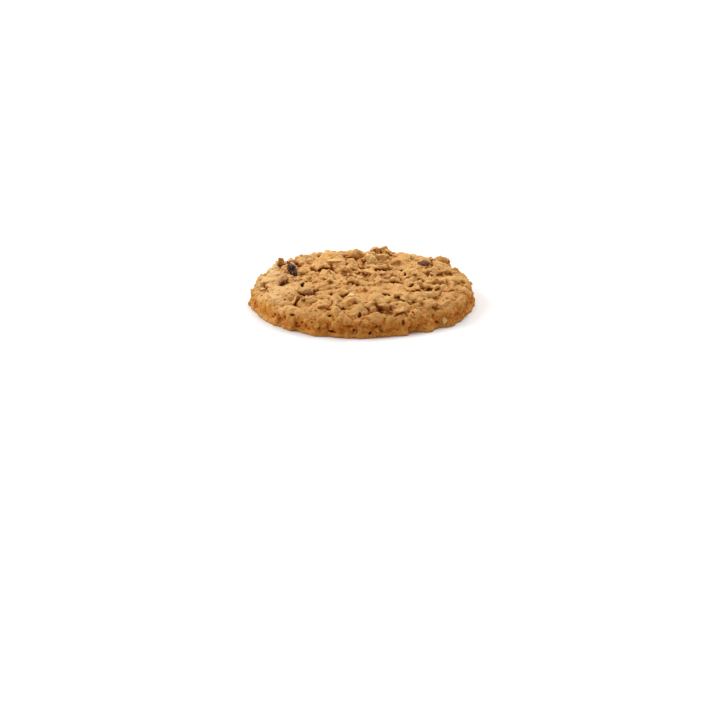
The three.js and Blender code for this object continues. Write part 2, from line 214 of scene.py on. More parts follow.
# Chunks: then width, height and thickness, how deep they sit, how they lean, what they are and how pale.
CHUNKS = [
    (291.5, 269.3, 2.2, 4.6, 2.2, 0.1, 0.4, "toffee", 0),
    # The next, darkest chunk carries the largest chip down into the hollow at its foot: its dark tone is
    # partly the toffee's own and partly painted shade of that hollow.
    (295, 274, 1.6, 2, 1.8, 0.2, 0.3, "toffee", -0.3),
    (423.5, 263.5, 2.8, 1.8, 1.6, 0.5, 0.1, "toffee", 0.6),
    (308, 292.5, 2.6, 1.7, 1.6, 0.75, 0, "toffee", 0.9),
    (371.5, 259.3, 3.2, 3.8, 2.2, 0.3, 0.45, "oat", 0.85),
    (380.8, 259, 4.2, 2.6, 2, 0.4, -0.2, "oat", 0.4),
    (413, 258, 1.3, 2, 1.2, 0.1, 0.1, "oat", 1),
    (351, 295.5, 2.2, 1.1, 1.2, 0.15, 0.2, "oat", 1.2),
    (444.7, 320, 1.5, 2.9, 1.2, 0.2, -0.15, "oat", 0.8),
]
FOOT_SPREAD = 0.8  # how far the rim's foot stands out further than the solid's
# Where the dough has flowed smooth on the side that faces a viewer: x, y, how far across.
CALM_PATCHES = [
    (-25, -14, 17),
    (-14, -29, 13),
    (6, -8, 5),
    (-8, 13, 7),
    (19, -16, 6),
    (12, 22, 6),
    (9, -33, 11),
    (25, -26, 8),
]
# At the front the top ends in a crest, over a flatter slope. Both lie this far from the middle.
CREST = {"radius": 25.6, "width": 1.3, "rise": 0.6}
SLOPE = {"radius": 29.6, "width": 1.8, "fall": 0.5}
TRIANGLES = 190_000


def random(seed):
    return np.random.RandomState(seed)


def eased(value, start, end):
    """From 0 at the start to 1 at the end, with no kink at either."""
    share = np.clip((value - start) / (end - start), 0, 1)
    return share * share * (3 - 2 * share)


def ellipsoid_distance(points, radii):
    """About how far points are from an ellipsoid's surface."""
    scaled = np.linalg.norm(points / radii, axis=-1)
    slope = np.linalg.norm(points / np.square(radii), axis=-1)
    return scaled * (scaled - 1) / np.maximum(slope, 1e-6)


def smooth_min(a, b, blend):
    share = np.maximum(blend - np.abs(a - b), 0) / blend
    return np.minimum(a, b) - share * share * blend / 4


class Field:
    """A signed distance on a grid of points, in millimetres: below 0 in the dough, above 0 in the air.

    Beside it, `tint` says how pale (above 0) or how toasted (below 0) the dough is, and `calm` where it has
    flowed smooth (1) and where it is craggy (0). `broad` is the field without its fine relief.
    """

    def __init__(self, node):
        self.low = LOW - MARGIN
        self.shape = tuple(int(n) for n in np.ceil((HIGH - LOW + 2 * MARGIN) / VOXEL))
        self.transform = openvdb.createLinearTransform(
            [[VOXEL, 0, 0, 0], [0, VOXEL, 0, 0], [0, 0, VOXEL, 0], [*self.low.tolist(), 1]]
        )
        # The solid and its mirror image below the floor, so that nothing rounds off the foot of the rim.
        points, triangles = surface_of(node)
        grid = openvdb.FloatGrid.createLevelSetFromPolygons(
            np.concatenate([points, points * [1, 1, -1]]),
            triangles=np.concatenate([triangles, triangles[:, ::-1] + len(points)]),
            transform=self.transform,
            halfWidth=BAND / VOXEL,
        )
        self.values = np.empty(self.shape, np.float32)
        grid.copyToArray(self.values)
        self.tint = np.zeros(self.shape, np.float32)
        self.x, self.y, heights = (self.low[k] + VOXEL * np.arange(self.shape[k]) for k in range(3))
        self.heights = heights.astype(np.float32)
        bend = [0.9 * self.noise(2.2, seed=31 + k) + 0.25 * self.noise(0.8, seed=35 + k) for k in range(3)]
        self.bend = np.stack(bend, -1).astype(np.float32)
        self.calm = calm_share(self)
        self.broad = self.values

    def window(self, middle, reach):
        """The part of the grid within `reach` of a point: its slices, and where its points lie from there."""
        first = np.maximum(0, np.floor((middle - reach - self.low) / VOXEL)).astype(int)
        last = np.minimum(self.shape, np.ceil((middle + reach - self.low) / VOXEL).astype(int) + 1)
        slices = tuple(slice(a, b) for a, b in zip(first, last))
        places = [self.low[k] + VOXEL * np.arange(first[k], last[k]) - middle[k] for k in range(3)]
        return slices, np.stack(np.meshgrid(*places, indexing="ij"), -1).astype(np.float32)

    def ellipsoid(self, middle, axes, radii, blend, ragged):
        """The slices round an ellipsoid, and how far their points are from it. Its axes are rows."""
        slices, away = self.window(middle, max(radii) + blend + ragged)
        away = away + ragged * self.bend[slices]
        return slices, ellipsoid_distance(away @ axes.T, radii)

    def join(self, middle, axes, radii, blend, tint, ragged):
        """Adds an ellipsoid."""
        slices, distance = self.ellipsoid(middle, axes, radii, blend, ragged)
        own = eased(self.values[slices] - distance, -0.1, 0.15)
        self.tint[slices] += own * (tint - self.tint[slices])
        self.values[slices] = smooth_min(self.values[slices], distance, blend)

    def cut(self, middle, axes, radii, blend, ragged=0.0):
        """Takes an ellipsoid away."""
        slices, distance = self.ellipsoid(middle, axes, radii, blend, ragged)
        self.values[slices] = -smooth_min(-self.values[slices], distance, blend)

    def at(self, points, values=None):
        """The field, or another array on its grid, at any points."""
        values = self.values if values is None else values
        spot = (points - self.low) / VOXEL
        first = np.clip(np.floor(spot).astype(int), 0, np.array(self.shape) - 2)
        share = spot - first
        total = np.zeros(len(points))
        for corner in np.ndindex(2, 2, 2):
            weight = np.prod(np.where(corner, share, 1 - share), axis=1)
            total += weight * values[tuple((first + corner).T)]
        return total

    def outwards(self, points):
        """The way out of the dough at points near its surface, as unit vectors."""
        steps = np.eye(3) * VOXEL
        ways = [self.at(points + step, self.broad) - self.at(points - step, self.broad) for step in steps]
        ways = np.stack(ways, -1)
        return ways / np.maximum(np.linalg.norm(ways, axis=1, keepdims=True), 1e-9)

    def settled(self, spot, out=None, raised=0.0):
        """The spot moved along `out`, or straight out of the dough, to this far above its surface."""
        out = self.outwards(spot[None])[0] if out is None else out
        return spot + (raised - self.at(spot[None])[0]) * out

    def warped(self, amount):
        """The field seen through bent space, which makes every edge ragged."""
        values = np.empty(self.shape, np.float32)
        for slab, x in enumerate(self.x):
            points = np.stack(np.meshgrid(x, self.y, self.heights, indexing="ij"), -1).reshape(-1, 3)
            points = points + amount * self.bend[slab].reshape(-1, 3)
            values[slab] = self.at(points).reshape(self.shape[1:])
        return values

    def blurred(self, width):
        """The field smoothed with a bell of this width."""
        values = self.values
        reach = int(math.ceil(2.5 * width / VOXEL))
        steps = np.arange(-reach, reach + 1)
        bell = np.exp(-0.5 * (steps * VOXEL / width) ** 2)
        bell = (bell / bell.sum()).astype(np.float32)
        for axis in range(3):
            edges = [(reach, reach) if k == axis else (0, 0) for k in range(3)]
            padded = np.moveaxis(np.pad(values, edges, mode="edge"), axis, 0)
            count = values.shape[axis]
            values = sum(weight * padded[step : step + count] for step, weight in enumerate(bell))
            values = np.moveaxis(values, 0, axis)
        return np.ascontiguousarray(values)

    def noise(self, scale, seed):
        """Smooth random values, mostly from -1 to 1, with lumps of this size."""
        counts = [int(n * VOXEL / scale) + 3 for n in self.shape]
        values = random(seed).uniform(-1, 1, counts).astype(np.float32)
        for axis in range(3):
            place = np.arange(self.shape[axis]) * VOXEL / scale
            first = place.astype(int)
            share = place - first
            share = (share * share * (3 - 2 * share)).astype(np.float32)
            weights = np.zeros((len(place), values.shape[0]), np.float32)
            weights[np.arange(len(place)), first] = 1 - share
            weights[np.arange(len(place)), first + 1] = share
            values = np.moveaxis(np.tensordot(weights, values, (1, 0)), 0, 2)
        return values * 1.5

    def plates(self, spots, outs, seed, reach, rise, lean):
        """Splits space into the cells round `spots`, with bent edges.

        Gives how high the plate in each cell stands, raised or sunk and leaning its own way, and how wide the
        gap is to the next cell's.
        """
        roll = random(seed)
        nearest = np.full(self.shape, reach, np.float32)
        second = nearest.copy()
        height = np.zeros(self.shape, np.float32)
        for spot, out in zip(spots, outs):
            slices, away = self.window(spot, reach)
            away = away + self.bend[slices]
            distance = np.sqrt(np.einsum("...k,...k->...", away, away))
            slant = tilted(out, roll, 1.5) - out
            slant = lean * (slant - (slant @ out) * out)
            plane = roll.uniform(-rise, rise) + away @ slant.astype(np.float32)
            first = nearest[slices]
            closer = distance < first
            second[slices] = np.where(closer, first, np.minimum(second[slices], distance))
            height[slices] = np.where(closer, plane, height[slices])
            nearest[slices] = np.where(closer, distance, first)
        return height, second - nearest

    def mesh(self, name):
        """The field's surface as triangles, without loose scraps and closed bubbles."""
        grid = openvdb.FloatGrid(BAND)
        grid.transform = self.transform
        grid.copyFromArray(np.ascontiguousarray(self.values))
        points, quads = grid.convertToQuads(0.0)
        triangles = np.concatenate([quads[:, [0, 1, 2]], quads[:, [0, 2, 3]]]).astype(np.int64)
        triangles = triangles[largest_body(len(points), triangles)]
        used, triangles = np.unique(triangles, return_inverse=True)
        triangles = triangles.reshape(-1, 3)
        points = points[used]
        a, b, c = (points[triangles[:, k]] for k in range(3))
        if np.einsum("ij,ij->", a, np.cross(b, c)) < 0:
            triangles = triangles[:, ::-1]
        return mesh_of(name, points, triangles)


def largest_body(count, triangles):
    """Which triangles belong to the body that has the most of them."""
    label = np.arange(count)
    while True:
        least = label[triangles].min(axis=1)
        new = label.copy()
        for k in range(3):
            np.minimum.at(new, triangles[:, k], least)
        new = new[new]
        if np.array_equal(new, label):
            break
        label = new
    body = label[triangles[:, 0]]
    return body == np.bincount(body).argmax()


def mesh_of(name, points, triangles):
    """A mesh in metres from points in millimetres."""
    mesh = bpy.data.meshes.new(name)
    mesh.vertices.add(len(points))
    mesh.vertices.foreach_set("co", (np.asarray(points, np.float32) * MM).ravel())
    mesh.loops.add(triangles.size)
    mesh.loops.foreach_set("vertex_index", triangles.astype(np.int32).ravel())
    mesh.polygons.add(len(triangles))
    mesh.polygons.foreach_set("loop_start", np.arange(0, triangles.size, 3, dtype=np.int32))
    mesh.update(calc_edges=True)
    return mesh


def points_of(mesh):
    points = np.empty(3 * len(mesh.vertices), np.float32)
    mesh.vertices.foreach_get("co", points)
    return points.reshape(-1, 3).astype(float) / MM


def surface_of(node):
    """The solid's points and its triangles, without the flat underside."""
    mesh = node.data
    mesh.calc_loop_triangles()
    corners = np.empty(3 * len(mesh.loop_triangles), np.int32)
    mesh.loop_triangles.foreach_get("vertices", corners)
    points = points_of(mesh)
    triangles = corners.reshape(-1, 3)
    return points, triangles[points[triangles][:, :, 2].max(axis=1) > FLAT]


def set_attribute(mesh, name, values):
    mesh.attributes.new(name, "FLOAT", "POINT").data.foreach_set("value", np.asarray(values, np.float32))


def thinned(piece, triangles):
    """Brings a piece down to a number of triangles, where its surface is flattest first."""
    rough = piece.data
    thinning = piece.modifiers.new("thinning", "DECIMATE")
    thinning.ratio = min(1, triangles / len(rough.polygons))
    thinning.use_collapse_triangulate = True
    graph = bpy.context.evaluated_depsgraph_get()
    piece.data = bpy.data.meshes.new_from_object(piece.evaluated_get(graph))
    piece.modifiers.clear()
    bpy.data.meshes.remove(rough)


def add_piece(name, mesh, material):
    piece = bpy.data.objects.new(name, mesh)
    bpy.context.scene.collection.objects.link(piece)
    mesh.polygons.foreach_set("use_smooth", np.ones(len(mesh.polygons), bool))
    mesh.materials.append(material)
    return piece


# --- Places and directions ---
def spread_spots(node, count, seed, low=0.6):
    """Spots spread over the node's surface above a height, each as far from the others as fits."""
    points, triangles = surface_of(node)
    a, b, c = (points[triangles[:, k]] for k in range(3))
    area = np.linalg.norm(np.cross(b - a, c - a), axis=1) / 2
    roll = random(seed)
    tries = 6 * count
    pick = roll.choice(len(area), tries, p=area / area.sum())
    u, v = roll.uniform(0, 1, (2, tries, 1))
    flip = u + v > 1
    u, v = np.where(flip, 1 - u, u), np.where(flip, 1 - v, v)
    spots = a[pick] + u * (b - a)[pick] + v * (c - a)[pick]
    spots = spots[spots[:, 2] > low]
    gap = 0.72 * math.sqrt(area.sum() / count)
    kept = np.zeros((count, 3))
    number = 0
    for spot in spots:
        away = kept[:number] - spot
        if number == 0 or np.einsum("ij,ij->i", away, away).min() > gap * gap:
            kept[number] = spot
            number += 1
        if number == count:
            break
    return kept[:number]


def span(normal, spin):
    """Three axes as rows: two that span a surface, turned by `spin`, and its normal."""
    level = np.cross([0.0, 0.0, 1.0], normal)
    level = level / np.linalg.norm(level) if np.linalg.norm(level) > 1e-3 else np.array([1.0, 0.0, 0.0])
    other = np.cross(normal, level)
    first = math.cos(spin) * level + math.sin(spin) * other
    return np.array([first, np.cross(normal, first), normal])


def any_turn(roll):
    return roll.uniform(0, FULL_TURN)


def tilted(normal, roll, most):
    """A normal leaned over by up to `most` radians, any way round."""
    first, _, _ = span(normal, any_turn(roll))
    lean = most * math.sqrt(roll.uniform(0, 1))
    return math.cos(lean) * normal + math.sin(lean) * first


def facing(point):
    """The way that the smooth cookie faces at a point on it: up on the top, and outwards round the rim."""
    radius = math.hypot(point[0], point[1])
    outwards = max(0, radius - TOP_RADIUS) / SHOULDER_WIDTH**2
    upwards = max(0, point[2] - BELLY_HEIGHT) / SHOULDER_RISE**2
    normal = np.array([point[0] / radius * outwards, point[1] / radius * outwards, upwards])
    return normal / np.linalg.norm(normal)


def dice(seed):
    """Draws from 0 to 1, the same on each run: a linear congruential generator, as the solid's flakes use."""
    while True:
        seed = (seed * 1664525 + 1013904223) % 2**32
        yield seed / 2**32


def between(limits, share):
    return limits[0] + (limits[1] - limits[0]) * share


# --- The solid's own flakes and chips ---
FAR = 60  # a distance from the middle that is outside the cookie
GOLDEN_TURN = math.pi * (3 - math.sqrt(5))


class Touch:
    """Finds where straight lines meet the solid."""

    def __init__(self, node):
        mesh = node.data
        corners = [vertex.co / MM for vertex in mesh.vertices]
        self.tree = BVHTree.FromPolygons(corners, [face.vertices for face in mesh.polygons])

    def meet(self, start, direction):
        """Where a line first meets the solid, and its direction."""
        return np.array(self.tree.ray_cast(Vector(start), Vector(direction))[0]), direction

    def above(self, x, y):
        return self.meet((x, y, FAR), np.array([0, 0, -1.0]))

    def aside(self, turn, height):
        direction = -np.array([math.cos(turn), math.sin(turn), 0])
        return self.meet((-FAR * direction[0], -FAR * direction[1], height), direction)

    def seen(self, across, down):
        """What a viewer sees at this pixel of the picture."""
        aside, above = (across - PICTURE / 2) / SCALE, (PICTURE / 2 - down) / SCALE
        direction = AIM + aside * RIGHT + above * UP - EYE
        return self.meet(EYE, direction / np.linalg.norm(direction))


def laid(hit, direction, spin, tilt, sizes):
    """Where a flake or chip of the solid lies: its middle and its axes as rows, long, short and up.

    The line that found it hit its outside, so its middle is one radius further on.
    """
    normal = facing(hit)
    axis = Vector(span(normal, spin)[0])
    up = Vector(normal)
    up.rotate(Quaternion(axis, tilt))
    axes = span(np.array(up), 2 * spin)
    radius = 0.5 / np.linalg.norm(axes @ direction / sizes)
    return hit + radius * direction, axes


def solid_flakes(touch):
    """The middle, axes and length of each flake that shows bare, by the same draws as in the solid."""
    roll = dice(FLAKE["seed"])
    hits = []
    for i in range(TOP_FLAKES["count"]):
        radius = TOP_FLAKES["reach"] * math.sqrt((i + next(roll)) / TOP_FLAKES["count"])
        turn = i * GOLDEN_TURN + 0.6 * next(roll)
        hits.append(touch.above(radius * math.cos(turn), radius * math.sin(turn)))
    for i in range(RIM_FLAKES["count"]):
        turn = (i + 0.7 * next(roll)) / RIM_FLAKES["count"] * FULL_TURN
        hits.append(touch.aside(turn, between(RIM_FLAKES["height"], next(roll))))
    for _ in range(2 * FLAKES_SET):
        next(roll)
    flakes = []
    for i, (hit, direction) in enumerate(hits):
        length = between(FLAKE["length"], i / len(hits))
        sizes = np.array([length, length * FLAKE["width"], FLAKE["thickness"]])
        spin = next(roll) * FULL_TURN
        tilt = (2 * next(roll) - 1) * FLAKE["tilt"]
        flakes.append((*laid(hit, direction, spin, tilt, sizes), length))
    return [flake for flake in flakes if flake[0][1] > 0][::BARE]


def solid_chips(touch):
    """The middle, axes, sizes and paleness of each of the solid's chips that shows."""
    chips = []
    for x, y, length, width, turn, paleness in CHIPS:
        sizes = np.array([length, width, CHIP_HEIGHT])
        chips.append((*laid(*touch.above(x, y), turn, 0, sizes), sizes, paleness))
    return chips


def seen_chunks(touch, kind):
    """The middle, axes, sizes and paleness of each chunk of a kind."""
    chunks = []
    for across, down, width, height, thickness, depth, lean, own_kind, paleness in CHUNKS:
        if own_kind == kind:
            spot, inwards = touch.seen(across, down)
            sizes = np.array([width, height, thickness])
            chunks.append((spot + depth * inwards, leaning(inwards, lean), sizes, paleness))
    return chunks


# --- The crust ---
def calm_share(field):
    """From 0 where the crust is craggy to 1 where the dough has flowed smooth."""
    share = eased(field.noise(9.0, seed=41), 0.0, 0.9)
    for x, y, across in CALM_PATCHES:
        away = np.hypot(field.x[:, None, None] - x, field.y[None, :, None] - y)
        share = np.maximum(share, eased(-away, -0.6 * across, -0.25 * across))
    return np.maximum(share, 0.85 * eased(-field.heights, -9.0, -5.0)).astype(np.float32)


def raise_crest(field):
    """Raises a crest along the front edge of the top, over a flatter slope."""
    radius = np.hypot(field.x[:, None], field.y[None, :])[:, :, None] + 1.2 * field.noise(3.5, seed=43)
    crest = CREST["rise"] * np.exp(-(((radius - CREST["radius"]) / CREST["width"]) ** 2))
    slope = SLOPE["fall"] * np.exp(-(((radius - SLOPE["radius"]) / SLOPE["width"]) ** 2))
    front = eased(-field.y, 8, 20)[None, :, None] * eased(field.heights, 3.5, 6.0)
    share = front * eased(field.noise(6.0, seed=44), -1.2, 0.2)
    field.values -= (share * (crest - slope)).astype(np.float32)


def break_into_plates(field, node):
    """Breaks the dough into mounds of three sizes, raised or sunk, with cracks between some of them."""
    change = np.zeros(field.shape, np.float32)
    for number, (count, reach, rise, lean, dome, edge, depth, width, cracked) in enumerate(PLATES):
        spots = spread_spots(node, count, seed=50 + number)
        height, gap = field.plates(spots, field.outwards(spots), 55 + number, reach, rise, lean)
        cracks = eased(field.noise(1.1 * reach, seed=58 + number), *cracked)
        change += height - dome * np.exp(-gap / edge)
        change -= depth * np.exp(-gap / width) * cracks
    spread = FOOT_SPREAD * eased(-field.heights, -2.6, -0.2)
    field.values -= change * (1 - 0.8 * field.calm) + 0.15 + spread


def add_coated_oats(field, node, roll):
    spots = spread_spots(node, OATS["count"], seed=22)
    for spot, out, still in zip(spots, field.outwards(spots), field.at(spots, field.calm)):
        length = roll.uniform(*OATS["length"])
        radii = np.array([length, length * roll.uniform(*OATS["width"]), roll.uniform(*OATS["thickness"])])
        up = tilted(out, roll, OATS["tilt"])
        middle = field.settled(spot, out, roll.uniform(*OATS["raised"]))
        axes, tint = span(up, any_turn(roll)), roll.uniform(-0.2, 0.5)
        if still < 0.45:
            field.join(middle, axes, radii, 0.8, tint, 0.6)


def bury(field, chunks):
    """Dough behind and round the chunks, so that they show like stones in a bank."""
    for middle, axes, sizes, _ in chunks:
        radii = np.array([0.62 * sizes[0], 0.5 * sizes[1], 0.5 * sizes[2] + 0.5])
        field.join(middle + (0.25 * sizes[2] + 0.6) * axes[2], axes, radii, 1.0, 0.2, 0.5)


def leaning(inwards, lean):
    """Axes as rows: across, up and in, the first two turned by `lean` as seen along `inwards`."""
    level = np.cross(inwards, [0.0, 0.0, 1.0])
    level /= np.linalg.norm(level)
    up = np.cross(level, inwards)
    across = math.cos(lean) * level + math.sin(lean) * up
    return np.array([across, np.cross(across, inwards), inwards])


def add_ledge(field, spot, inwards, lean, width, height, depth, lump, tint):
    """A narrow crevice that goes in at `spot`, under a lump of dough unless that has no size."""
    axes = leaning(inwards, lean)
    middle = spot + 0.1 * depth * inwards
    if lump > 0:
        over = spot + axes.T @ [0, height + 0.4 * lump, 0.4 + 0.5 * depth]
        field.join(over, axes, np.array([1.1 * width, 0.5 + 0.8 * lump, 0.4 + 0.7 * depth]), 0.8, tint, 0.5)
        field.cut(middle, axes, np.array([1.2 * width, 0.9 * height, depth]), 0.25, 0.6)
    else:
        field.cut(middle, axes, np.array([width, height, 0.8 * depth]), 0.15, 0.4)


def shape_what_shows(field, touch):
    """The crevices and nodules that a viewer sees. Gives their spots."""
    marked = []
    for across, down, width, height, lean, depth, lump in CREVICES:
        spot, inwards = touch.seen(across, down)
        spot = field.settled(spot)
        add_ledge(field, spot, inwards, lean, width, height, 0.8 * depth, lump, 0.2)
        marked.append(spot)
    for across, down, width, height, thickness, lean, paleness in NODULES:
        spot, inwards = touch.seen(across, down)
        middle = field.settled(spot) + 0.25 * thickness * inwards
        sizes = np.array([width, height, thickness])
        field.join(middle, leaning(inwards, lean), sizes, 0.25, paleness, 0.15)
        marked.append(spot)
    return np.array(marked)


def spread_ledges(field, node, marked):
    """More ledges all over the crust, clear of the marked spots."""
    roll = random(25)
    spots = spread_spots(node, LEDGES["count"], seed=26, low=1.0)
    for spot, out, still in zip(spots, field.outwards(spots), field.at(spots, field.calm)):
        turn = math.atan2(spot[1], spot[0]) + roll.uniform(-0.9, 0.9)
        inwards = -np.array([math.cos(turn), math.sin(turn), LEDGE_FALL])
        inwards /= np.linalg.norm(inwards)
        size = roll.uniform(0, 1) ** 1.5
        width, height, depth = (between(LEDGES[key], size) for key in ("width", "height", "depth"))
        lump, lean, tint = roll.uniform(0.1, 0.9), roll.uniform(-0.6, 0.6), roll.uniform(-0.3, 0.5)
        if still < 0.5 and np.linalg.norm(marked - spot, axis=1).min() > 2.5:
            add_ledge(field, field.settled(spot, out), inwards, lean, width, height, depth, lump, tint)


def crumb_radii(roll, limits):
    """A crumb's half sizes, more often small than large."""
    return between(limits, roll.uniform(0, 1) ** 2) * roll.uniform(0.7, 1.4, 3)


def add_crumbs(field, node, roll):
    """Crumbs and grains, in clusters."""
    spots = spread_spots(node, CRUMBS["count"], seed=23, low=0.1)
    stills, crowd = field.at(spots, field.calm), field.at(spots, field.noise(4.0, seed=27))
    for spot, out, still, many in zip(spots, field.outwards(spots), stills, crowd):
        radii = crumb_radii(roll, CRUMBS["radius"])
        middle = field.settled(spot, out, roll.uniform(*CRUMBS["raised"]) - 0.1 * still)
        tint = roll.uniform(-0.8, 1.0)
        if many > -0.25:
            field.join(middle, span(out, 0), radii, 0.15, tint, 0.2)


def add_foot_crumbs(field, touch, roll):
    """Pale crumbs that make the foot of the rim ragged."""
    for number in range(FOOT_CRUMBS["count"]):
        turn = FULL_TURN * (number + roll.uniform(0, 1)) / FOOT_CRUMBS["count"]
        spot, inwards = touch.aside(turn, roll.uniform(*FOOT_CRUMBS["height"]))
        radii = crumb_radii(roll, FOOT_CRUMBS["radius"])
        middle = spot + roll.uniform(*FOOT_CRUMBS["sunk"]) * inwards
        field.join(middle, span(-inwards, 0), radii, 0.25, roll.uniform(0, 1.0), 0.2)


def pierce(field, node, roll):
    """Pinholes, crowded in some places and missing from others."""
    spots = spread_spots(node, PINHOLES["count"], seed=24, low=0.3)
    crowd = field.at(spots, field.noise(5.0, seed=28))
    for spot, out, many in zip(spots, field.outwards(spots), crowd):
        radius = between(PINHOLES["radius"], roll.uniform(0, 1) ** 3)
        radii = radius * np.array([1, roll.uniform(*PINHOLES["width"]), roll.uniform(*PINHOLES["depth"])])
        axes, kept = span(tilted(out, roll, 0.6), any_turn(roll)), roll.uniform(0, 1)
        if kept < eased(many, -0.4, 0.9):
            field.cut(field.settled(spot, out), axes, radii, 0.1, 0.2)


def press_beds(field, flakes, chips, chunks):
    """The beds of bare flakes, chips and chunks, so that these lie free."""
    for middle, axes, length in flakes:
        radii = np.array([length, length * FLAKE["width"], 1.1 * FLAKE["thickness"]]) / 2
        field.cut(middle + 0.1 * axes[2], axes, radii, 0.15)
    for middle, axes, sizes, _ in chips:
        field.cut(middle + 0.2 * axes[2], axes, sizes / 2 * 1.05, 0.15)
    for middle, axes, sizes, _ in chunks:
        radii = sizes * np.array([0.5, 0.5, 0.9])
        field.cut(middle - 0.5 * sizes[2] * axes[2], axes, radii, 0.15, 0.2)


def finish_underside(field, roll):
    """Makes the underside flat, with the bubbles that burst on the tray."""
    field.values = np.maximum(field.values, -field.heights)
    count = UNDER_PITS["count"]
    reach = np.sqrt(roll.uniform(0, 1, count)) * UNDER_PITS["reach"]
    for out, turn in zip(reach, roll.uniform(0, FULL_TURN, count)):
        middle = np.array([out * math.cos(turn), out * math.sin(turn), roll.uniform(-0.1, 0.1)])
        radius = between(UNDER_PITS["radius"], roll.uniform(0, 1) ** 3)
        radii = radius * np.array([1, roll.uniform(*UNDER_PITS["width"]), roll.uniform(*UNDER_PITS["depth"])])
        field.cut(middle, span(np.array([0, 0, 1.0]), turn), radii, 0.1, 0.4)


def grow_crust(node, touch, flakes, chips, chunks):
    field = Field(node)
    smooth = field.blurred(1.4) - 0.12
    field.values = field.blurred(FACET_BLUR)
    field.values = field.warped(SOLID_WARP)
    field.values += 0.85 * field.calm * (smooth - field.values)
    raise_crest(field)
    field.broad = field.blurred(BROAD_BLUR)
    break_into_plates(field, node)
    field.values = field.blurred(0.13)

    roll = random(21)
    add_coated_oats(field, node, roll)
    bury(field, chunks)
    spread_ledges(field, node, shape_what_shows(field, touch))
    add_crumbs(field, node, roll)
    add_foot_crumbs(field, touch, roll)
    grain = 0.15 * (1 - 0.4 * field.calm) * field.noise(0.9, seed=13)
    field.values += grain + 0.1 * field.noise(0.5, seed=14)
    pierce(field, node, roll)
    press_beds(field, flakes, chips, chunks)
    finish_underside(field, roll)
    field.broad = field.blurred(BROAD_BLUR)
    return field


def make_crust(node, touch, flakes, chips, chunks):
    field = grow_crust(node, touch, flakes, chips, chunks)
    crust = add_piece("crust", field.mesh("crust"), crust_material())
    thinned(crust, TRIANGLES)
    points = points_of(crust.data)
    # How far each point stands out from its surroundings, at two sizes: the crust's colour paints shade into
    # hollows and light onto crests from these.
    for name, width in (("crag", 1.1), ("grain", 0.45)):
        set_attribute(crust.data, name, field.at(points, field.blurred(width)))
    set_attribute(crust.data, "tint", field.at(points, field.tint))
    return crust, field


# --- Bare oat flakes and toffee chips ---
def closed_oval(around, across):
    """Points of a unit disc with an upper and a lower side that share their edge, and its triangles.

    Gives how far out each point is, its turn, which side it is on (1, 0 at the edge, -1) and the triangles.
    """
    steps = 1 + np.arange(2 * across - 1)
    step, place = np.repeat(steps, around), np.tile(np.arange(around), len(steps))
    reach = np.sin(math.pi / 2 * np.minimum(step, 2 * across - step) / across)
    turn = FULL_TURN * (place + 0.5 * (step % 2)) / around
    reach, turn, side = (np.pad(row, 1) for row in (reach, turn, np.sign(across - step)))
    side[0], side[-1] = 1, -1
    rings = (steps[:, None] - 1) * around + 1 + np.arange(around)
    triangles = []
    for i in range(around):
        j = (i + 1) % around
        triangles += [(0, rings[0][i], rings[0][j]), (len(reach) - 1, rings[-1][j], rings[-1][i])]
        for number, (inner, outer) in enumerate(zip(rings, rings[1:])):
            if number % 2 == 0:
                triangles += [(inner[i], outer[i - 1], outer[i]), (inner[i], outer[i], inner[j])]
            else:
                triangles += [(inner[i], outer[i], inner[j]), (inner[j], outer[i], outer[j])]
    return reach, turn, side, np.array(triangles)


def flake_points(oval, roll, length, width, thickness):
    """One rolled oat: a thin, slightly curled oval with a crease along it and a ragged edge."""
    reach, turn, side, _ = oval
    waves = (2, 3, 5, 7, 9, 13)
    wobble = sum(roll.uniform(0.02, 0.07) * np.sin(n * turn + roll.uniform(0, 6.28)) for n in waves)
    x = reach * np.cos(turn) * (1 + wobble) * length / 2
    y = reach * np.sin(turn) * (1 + wobble) * width / 2
    along = 2 * x / length
    y = y * (1 - roll.uniform(0.05, 0.3) * along)
    body = side * thickness / 2 * (1 - reach**2) ** 0.6
    crease = 0.2 * thickness * np.exp(-((y / (0.09 * width)) ** 2)) * (1 - reach**4) * (side > 0)
    dents = sum(0.05 * np.sin(f * x + g * y + roll.uniform(0, 6.28)) for f, g in roll.uniform(-4, 4, (4, 2)))
    curl = roll.uniform(-0.14, 0.14) * length * along**2
    curl += roll.uniform(-0.1, 0.1) * width * (2 * y / width) ** 2
    z = body - crease + dents * np.abs(side) * (1 - reach**2) + 0.5 * curl
    return np.stack([x, y, z], -1), np.where(side > 0, crease / thickness, 0.0)


class Heap:
    """Small shapes gathered into one mesh, with a few named values at the points of each."""

    def __init__(self):
        self.points, self.triangles, self.values = [], [], []
        self.count = 0

    def add(self, points, triangles, **values):
        self.points.append(points)
        self.triangles.append(triangles + self.count)
        self.values.append({name: np.broadcast_to(value, len(points)) for name, value in values.items()})
        self.count += len(points)

    def add_flake(self, oval, roll, middle, axes, sizes):
        points, crease = flake_points(oval, roll, *sizes)
        self.add(middle + points @ axes, oval[3], shade=roll.uniform(-0.3, 0.4), crease=crease)

    def piece(self, name, material):
        mesh = mesh_of(name, np.concatenate(self.points), np.concatenate(self.triangles))
        for key in self.values[0]:
            set_attribute(mesh, key, np.concatenate([values[key] for values in self.values]))
        return add_piece(name, mesh, material)


def broken_scraps(field, node, roll):
    """The middle, axes and length of each scrap of a broken flake."""
    spots = spread_spots(node, SCRAPS["count"], seed=62, low=1.2)
    spots = spots[spots[:, 1] > SCRAPS_FROM]
    scraps = []
    for spot, out in zip(spots, field.outwards(spots)):
        middle = field.settled(spot, out, roll.uniform(*SCRAPS["raised"]))
        axes = span(tilted(out, roll, 0.7), any_turn(roll))
        scraps.append((middle, axes, roll.uniform(*SCRAPS["length"])))
    return scraps


